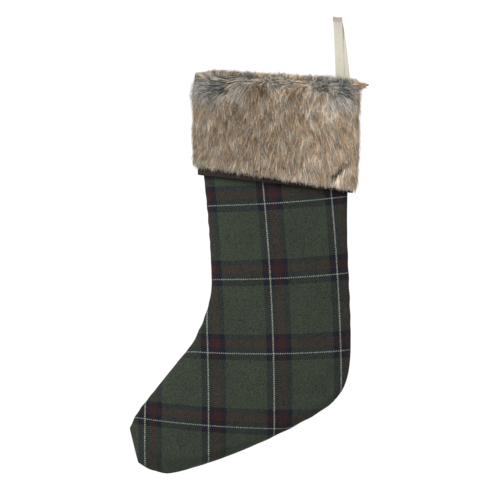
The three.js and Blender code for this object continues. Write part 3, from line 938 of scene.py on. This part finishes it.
def comb_fur(word, first, seed, materials):
    """The pile of one half of the cuff: hairs grow from the backing, lie down towards the hem or over
    the crest, lean sideways in the partings and gather in tufts. Returns the pieces."""
    rng = np.random.default_rng(seed)
    top = -2.4 * CREST_RADIUS
    arc = rng.uniform(0, ARC, HAIRS)
    turn = np.interp(arc, arc_gone, arc_angles)
    to_toe = (1 - np.cos(turn + first)) / 2
    hem = CUFF_HEIGHT * (0.985 - 0.055 * to_toe ** 1.5)
    down = top + (hem - 4 - top) * rng.uniform(0, 1, HAIRS)
    middle, tuft = tufts(rng, arc, down, top)
    loose = rng.normal(0, 1, (4, HAIRS))
    lean, shade, fine, drift = waves(rng, 50.0), waves(rng, 18.0), waves(rng, 7.0), waves(rng, 13.0)
    side, near, line = part_pile(word, arc, down)
    line = line + 1.5 * fine(arc, arc * 0) + 2.6 * shade(arc, arc * 0)
    flow, strength, above = hair_flow(arc, down, tuft, loose, side, near, line, lean, drift)
    room = hem + 1.3 * tuft[2] + 1.5 * loose[2] - down
    # The hairs above the crease end at it, and those that grow just under it show their dark roots.
    crease = below_crease(word, arc, down) if word == "front" else np.full(HAIRS, FAR)
    dark = (crease > -1.3) & (crease < 0.2)
    length = hair_lengths(tuft, loose, near, above, flow, room, crease)
    stray = (rng.uniform(0, 1, HAIRS) < 0.05 + 0.12 * (near > 0.3)) & (room > 20)
    wisp = (to_toe > 0.955) & (np.abs(down - 14) < 9) & (rng.uniform(0, 1, HAIRS) < 0.16)
    stray = stray | wisp
    stand = hair_stands(turn, to_toe, down, tuft, loose, near, above, room, dark, wisp, stray)
    stand = np.minimum(stand, 0.9 * length)
    forward = np.sqrt(np.maximum(length ** 2 - stand ** 2, 4.0)) * np.clip(0.35 + 0.65 * strength, 0.4, 1.0)
    kind = hair_tones(rng, word, arc, down, line, near, tuft, loose, shade(arc, down))
    kind = np.where(wisp, "grey", kind)
    kind = np.where(dark, "slate", kind)
    lines, normals = hair_lines(rng, first, arc, down, middle, flow, loose, stray, stand, forward)
    width = np.where(stray, THIN, THICK + 0.05 * np.abs(loose[0]))
    # Painted light and shade: hairs get a paler tone on the heel side and a darker one on the toe side, set
    # against the key lamp, which lights the toe side more.
    paler = 0.42 * (0.5 - to_toe) + 0.4 * np.maximum(0.3 - to_toe, 0)
    tone = np.clip(0.42 + paler + 0.26 * tuft[0] + 0.3 * loose[1], 0, 1)
    pieces = []
    for tone_name, material in materials.items():
        chosen = np.flatnonzero(kind == tone_name)
        chosen = chosen[np.argsort(arc[chosen])]
        for number, part in enumerate(np.array_split(chosen, math.ceil(len(chosen) / PER_PIECE)), 1):
            name = f"fur_{word}_{tone_name}_{number}"
            mesh = strands_mesh(name, lines[part], normals[part], width[part], tone[part])
            pieces.append(piece_of(mesh, material))
    return pieces


def backing_outline():
    """Fur cloth's backing: up the outside and over the crest, as a closed outline of (height, out)."""
    turns = np.linspace(0, math.pi, 9)
    heights = np.linspace(-0.90 * CUFF_HEIGHT, CREST_BASE, 9)[:-1]
    middle = BACKING_OUT - CREST_RADIUS
    inner = CREST_RADIUS - 0.25
    outside = [(h, BACKING_OUT) for h in heights]
    over = [(CREST_BASE + CREST_RADIUS * math.sin(t), middle + CREST_RADIUS * math.cos(t)) for t in turns]
    under = [(CREST_BASE + inner * math.sin(t), middle + inner * math.cos(t)) for t in turns[::-1]]
    return [*outside, *over, *under, *[(h, middle + inner) for h in heights[::-1]]]


# ---- Hanging loop ----


def tape_leg(side, z):
    """The middle of one leg of the tape at a height; side is -1 for the front leg."""
    t = (CROWN_CENTRE - z) / (CROWN_CENTRE - LOOP_ROOT)
    x = LEG_ROOTS[side] * np.sign(t) * abs(t) ** ROOT_BEND
    return [x, side * (LEG_TOUCH + (CROWN_MIDDLE - LEG_TOUCH) * max(1 - t, 0) ** CLOSING), z]


def strip_mesh(name, line):
    """A flat tape along a line of points: its width lies along X, and its selvedges are round."""
    line = np.asarray(line, float)
    along = unit(np.gradient(line, axis=0) * [0, 1, 1])
    face = np.cross(along, [1.0, 0, 0])
    half = TAPE_THICK / 2
    reach = TAPE_WIDTH / 2 - half
    x = np.linspace(-1, 1, 8) * reach
    bend = np.linspace(-math.pi / 2, math.pi / 2, 5)[1:-1]
    section = [(v, -half) for v in x]
    section += [(reach + math.cos(b) * half, math.sin(b) * half) for b in bend]
    section += [(v, half) for v in x[::-1]]
    section += [(-reach - math.cos(b) * half, -math.sin(b) * half) for b in bend]
    section = np.array(section)
    points = line[:, None] + section[None, :, :1] * [[1.0, 0, 0]] + section[None, :, 1:] * face[:, None]
    mesh = closed_rings(name, points)
    mesh.set_sharp_from_angle(angle=math.radians(50))
    return mesh


CROWN_DIP = (1.0, 1.0, 5.5)   # the crown's dip, where across the tape it is deepest, and its half width


def dip_crown(mesh):
    """Lets the crown hang in a little between its two selvedges."""
    co = points_of(mesh) / MM
    dip, middle, half = CROWN_DIP
    across = np.clip(1 - ((co[:, 0] - middle) / half) ** 2, 0, 1)
    co[:, 2] -= dip * across * np.clip((co[:, 2] + 6.0) / 6.0, 0, 1)
    mesh.vertices.foreach_set("co", (co * MM).ravel())


def hanging_loop(material):
    """The folded tape: a loop over the crown, and its two ends sewn in below the mouth."""
    heights = np.linspace(LOOP_SPLIT, CROWN_CENTRE, 30)[:-1]
    turns = np.linspace(0, math.pi, 17)
    crown = [[0, -CROWN_MIDDLE * math.cos(t), CROWN_CENTRE + CROWN_MIDDLE * math.sin(t)] for t in turns]
    line = [*[tape_leg(-1, z) for z in heights], *crown, *[tape_leg(1, z) for z in heights[::-1]]]
    strip = strip_mesh("tape_loop_upper", line)
    dip_crown(strip)
    upper = piece_of(strip, material, body=None, replaced=["hanging_loop_top"])
    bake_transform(upper)
    for word, side in (("front", -1), ("back", 1)):
        heights = np.linspace(TAIL_START, LOOP_SPLIT, 14)
        sewn = [[LEG_ROOTS[side], side * SEWN_Y, z] for z in heights]
        line = [tape_leg(side, z) if z > LOOP_ROOT else flat for z, flat in zip(heights, sewn)]
        strip = strip_mesh(f"tape_{word}_leg_root", line)
        lower = piece_of(strip, material, body=None, replaced=[f"hanging_loop_{word}_leg"])
        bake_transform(lower)
        line = [[LEG_ROOTS[side], side * SEWN_Y, z] for z in np.linspace(TAIL_END, TAIL_START, 6)]
        piece_of(strip_mesh(f"tape_{word}_sewn_end", line), material,
                 replaced=["hanging_loop_sewn_ends"])


TACK = (0.2, -91.2, 8.0, 3.0)               # left end, lower edge, width and height of the bar tack
TACK_Y = -0.82
TACK_STITCHES = 64


def bar_tack(material):
    """A bar of close zigzag stitches through the tape's ends."""
    steps = np.arange(TACK_STITCHES + 1)
    left, low, width, height = TACK
    across = left + width * steps / TACK_STITCHES
    line = np.stack([across, np.full(len(steps), TACK_Y), low + height * (steps % 2)], axis=-1)
    mesh = fill_mesh("bar_tack_stitches", *swept_tube(line, 0.16, sides=6))
    flip_if_inward(mesh)
    piece_of(mesh, material, replaced=["loop_bar_tack"])


# ---- Assembly ----

tartan = tartan_material("tartan_wool")
tartan_rear = tartan_material("tartan_wool_rear", shift=23.0, drop=31.0)
lining_cloth = woven_material("lining_cotton", linear(34, 40, 34), linear(50, 57, 48), 0.8)
facing_cloth = woven_material("facing_cloth", linear(38, 31, 28), linear(60, 50, 45), 1.1, sheen=0.15)
backing_cloth = woven_material("fur_backing", linear(50, 46, 42), linear(84, 76, 68), 1.0)
corner_cloth = corner_material()
tape_cloth = tape_material()
thread = woven_material("sewing_thread", linear(44, 48, 40), linear(74, 78, 66), 0.5)
overlock = woven_material("overlocked_edge", linear(36, 40, 34), linear(70, 74, 62), 1.6, relief=0.3)
hair = {name: hair_material(f"hair_{name}", *tones) for name, tones in HAIR_TONES.items()}

creases = leg_creases()
for word, side, cloth in (("front", -1, tartan), ("back", 1, tartan_rear)):
    leg_sheet(f"tartan_{word}", cloth, [f"tartan_{word}_panel"], -side, 0.0,
              DEPTH, TARTAN, 1.0, creases)
    leg_sheet(f"lining_{word}", lining_cloth, [f"lining_{word}_panel"], -side, LINING_INSET,
              DEPTH - TARTAN - LAYER_GAP, LINING, 0.965, creases, rows=130, columns=60)
    first = 0.0 if side < 0 else math.pi
    facing = cuff_band(f"facing_{word}", facing_cloth, [f"cuff_facing_{word}"], first,
                       rounded(7, -CUFF_HEIGHT, -2.0, 0.5, FACING_OUT))
    backing = cuff_band(f"fur_backing_{word}", backing_cloth, [f"cuff_fur_{word}"], first,
                        backing_outline())
    pile = comb_fur(word, first, 11 if side < 0 else 12, hair)
    cuff_band(f"mouth_seam_{word}", overlock, ["mouth_rim_seam"], first,
              oval(12, 0.5, 1.6, -3.0, 1.5))
leg_seam(overlock)
corner_hairs(hair["tan"], *corner_tab(corner_cloth))
bar_tack(thread)
hanging_loop(tape_cloth)

# ---- Studio ----

ROOM_LIGHT = 0.38             # the white room's light on the scene
ROOM_SEEN = 1.05              # and as the camera sees it, so that the background comes out white
FLOOR = (1.4, -0.95)          # radius and height of the floor
MIDDLE = (-0.1, 0, -0.28)     # of the stocking, where the lamp points


def area_light(name, place, aim, size, power):
    lamp = bpy.data.lights.new(name, "AREA")
    lamp.shape = "DISK"
    lamp.size = size
    lamp.energy = power
    light = place_in_scene(name, lamp)
    light.location = place
    light.rotation_euler = (Vector(aim) - Vector(place)).to_track_quat("-Z", "Y").to_euler()


def studio():
    """A white room with one large soft light above the camera's left shoulder, and a pale floor."""
    world = bpy.data.worlds.new("white_room")
    world.use_nodes = True
    nodes, links = world.node_tree.nodes, world.node_tree.links
    nodes["Background"].inputs["Color"].default_value = (1, 1, 1, 1)
    nodes["Background"].inputs["Strength"].default_value = ROOM_LIGHT
    seen = nodes.new("ShaderNodeBackground")
    seen.inputs["Color"].default_value = (1, 1, 1, 1)
    seen.inputs["Strength"].default_value = ROOM_SEEN
    path = nodes.new("ShaderNodeLightPath")
    both = nodes.new("ShaderNodeMixShader")
    links.new(path.outputs["Is Camera Ray"], both.inputs[0])
    links.new(nodes["Background"].outputs[0], both.inputs[1])
    links.new(seen.outputs[0], both.inputs[2])
    links.new(both.outputs[0], nodes["World Output"].inputs[0])
    bpy.context.scene.world = world
    bpy.context.scene.view_settings.view_transform = "Standard"
    area_light("key", (-0.85, -1.5, 1.35), MIDDLE, 1.5, 55.5)
    studio_floor()


def studio_floor():
    """A round pale floor, well below the stocking."""
    radius, height = FLOOR
    floor = bpy.data.meshes.new("studio_floor")
    turns = np.linspace(0, 2 * math.pi, 65)[:-1]
    ring = [(radius * math.cos(t), radius * math.sin(t), height) for t in turns]
    floor.from_pydata(ring, [], [list(range(64))])
    pale = Shader("pale_floor", 0.8)
    tint = pale.noise(pale.position()[3], 400.0)
    shades = [(0, linear(236, 236, 235)), (1, linear(243, 243, 242))]
    pale.colour(pale.ramp(tint, shades), linear(240, 240, 239))
    floor.materials.append(pale.material)
    place_in_scene("studio_floor", floor)


def camera():
    """Level with the middle of the stocking, looking straight at its front."""
    lens = bpy.data.cameras.new("camera")
    lens.sensor_width = 36.0
    lens.lens = 144.0
    eye = place_in_scene("camera", lens)
    eye.location = (-0.105, -2.4, -0.2796)
    eye.rotation_euler = (math.pi / 2, 0, 0)
    bpy.context.scene.camera = eye


studio()
camera()
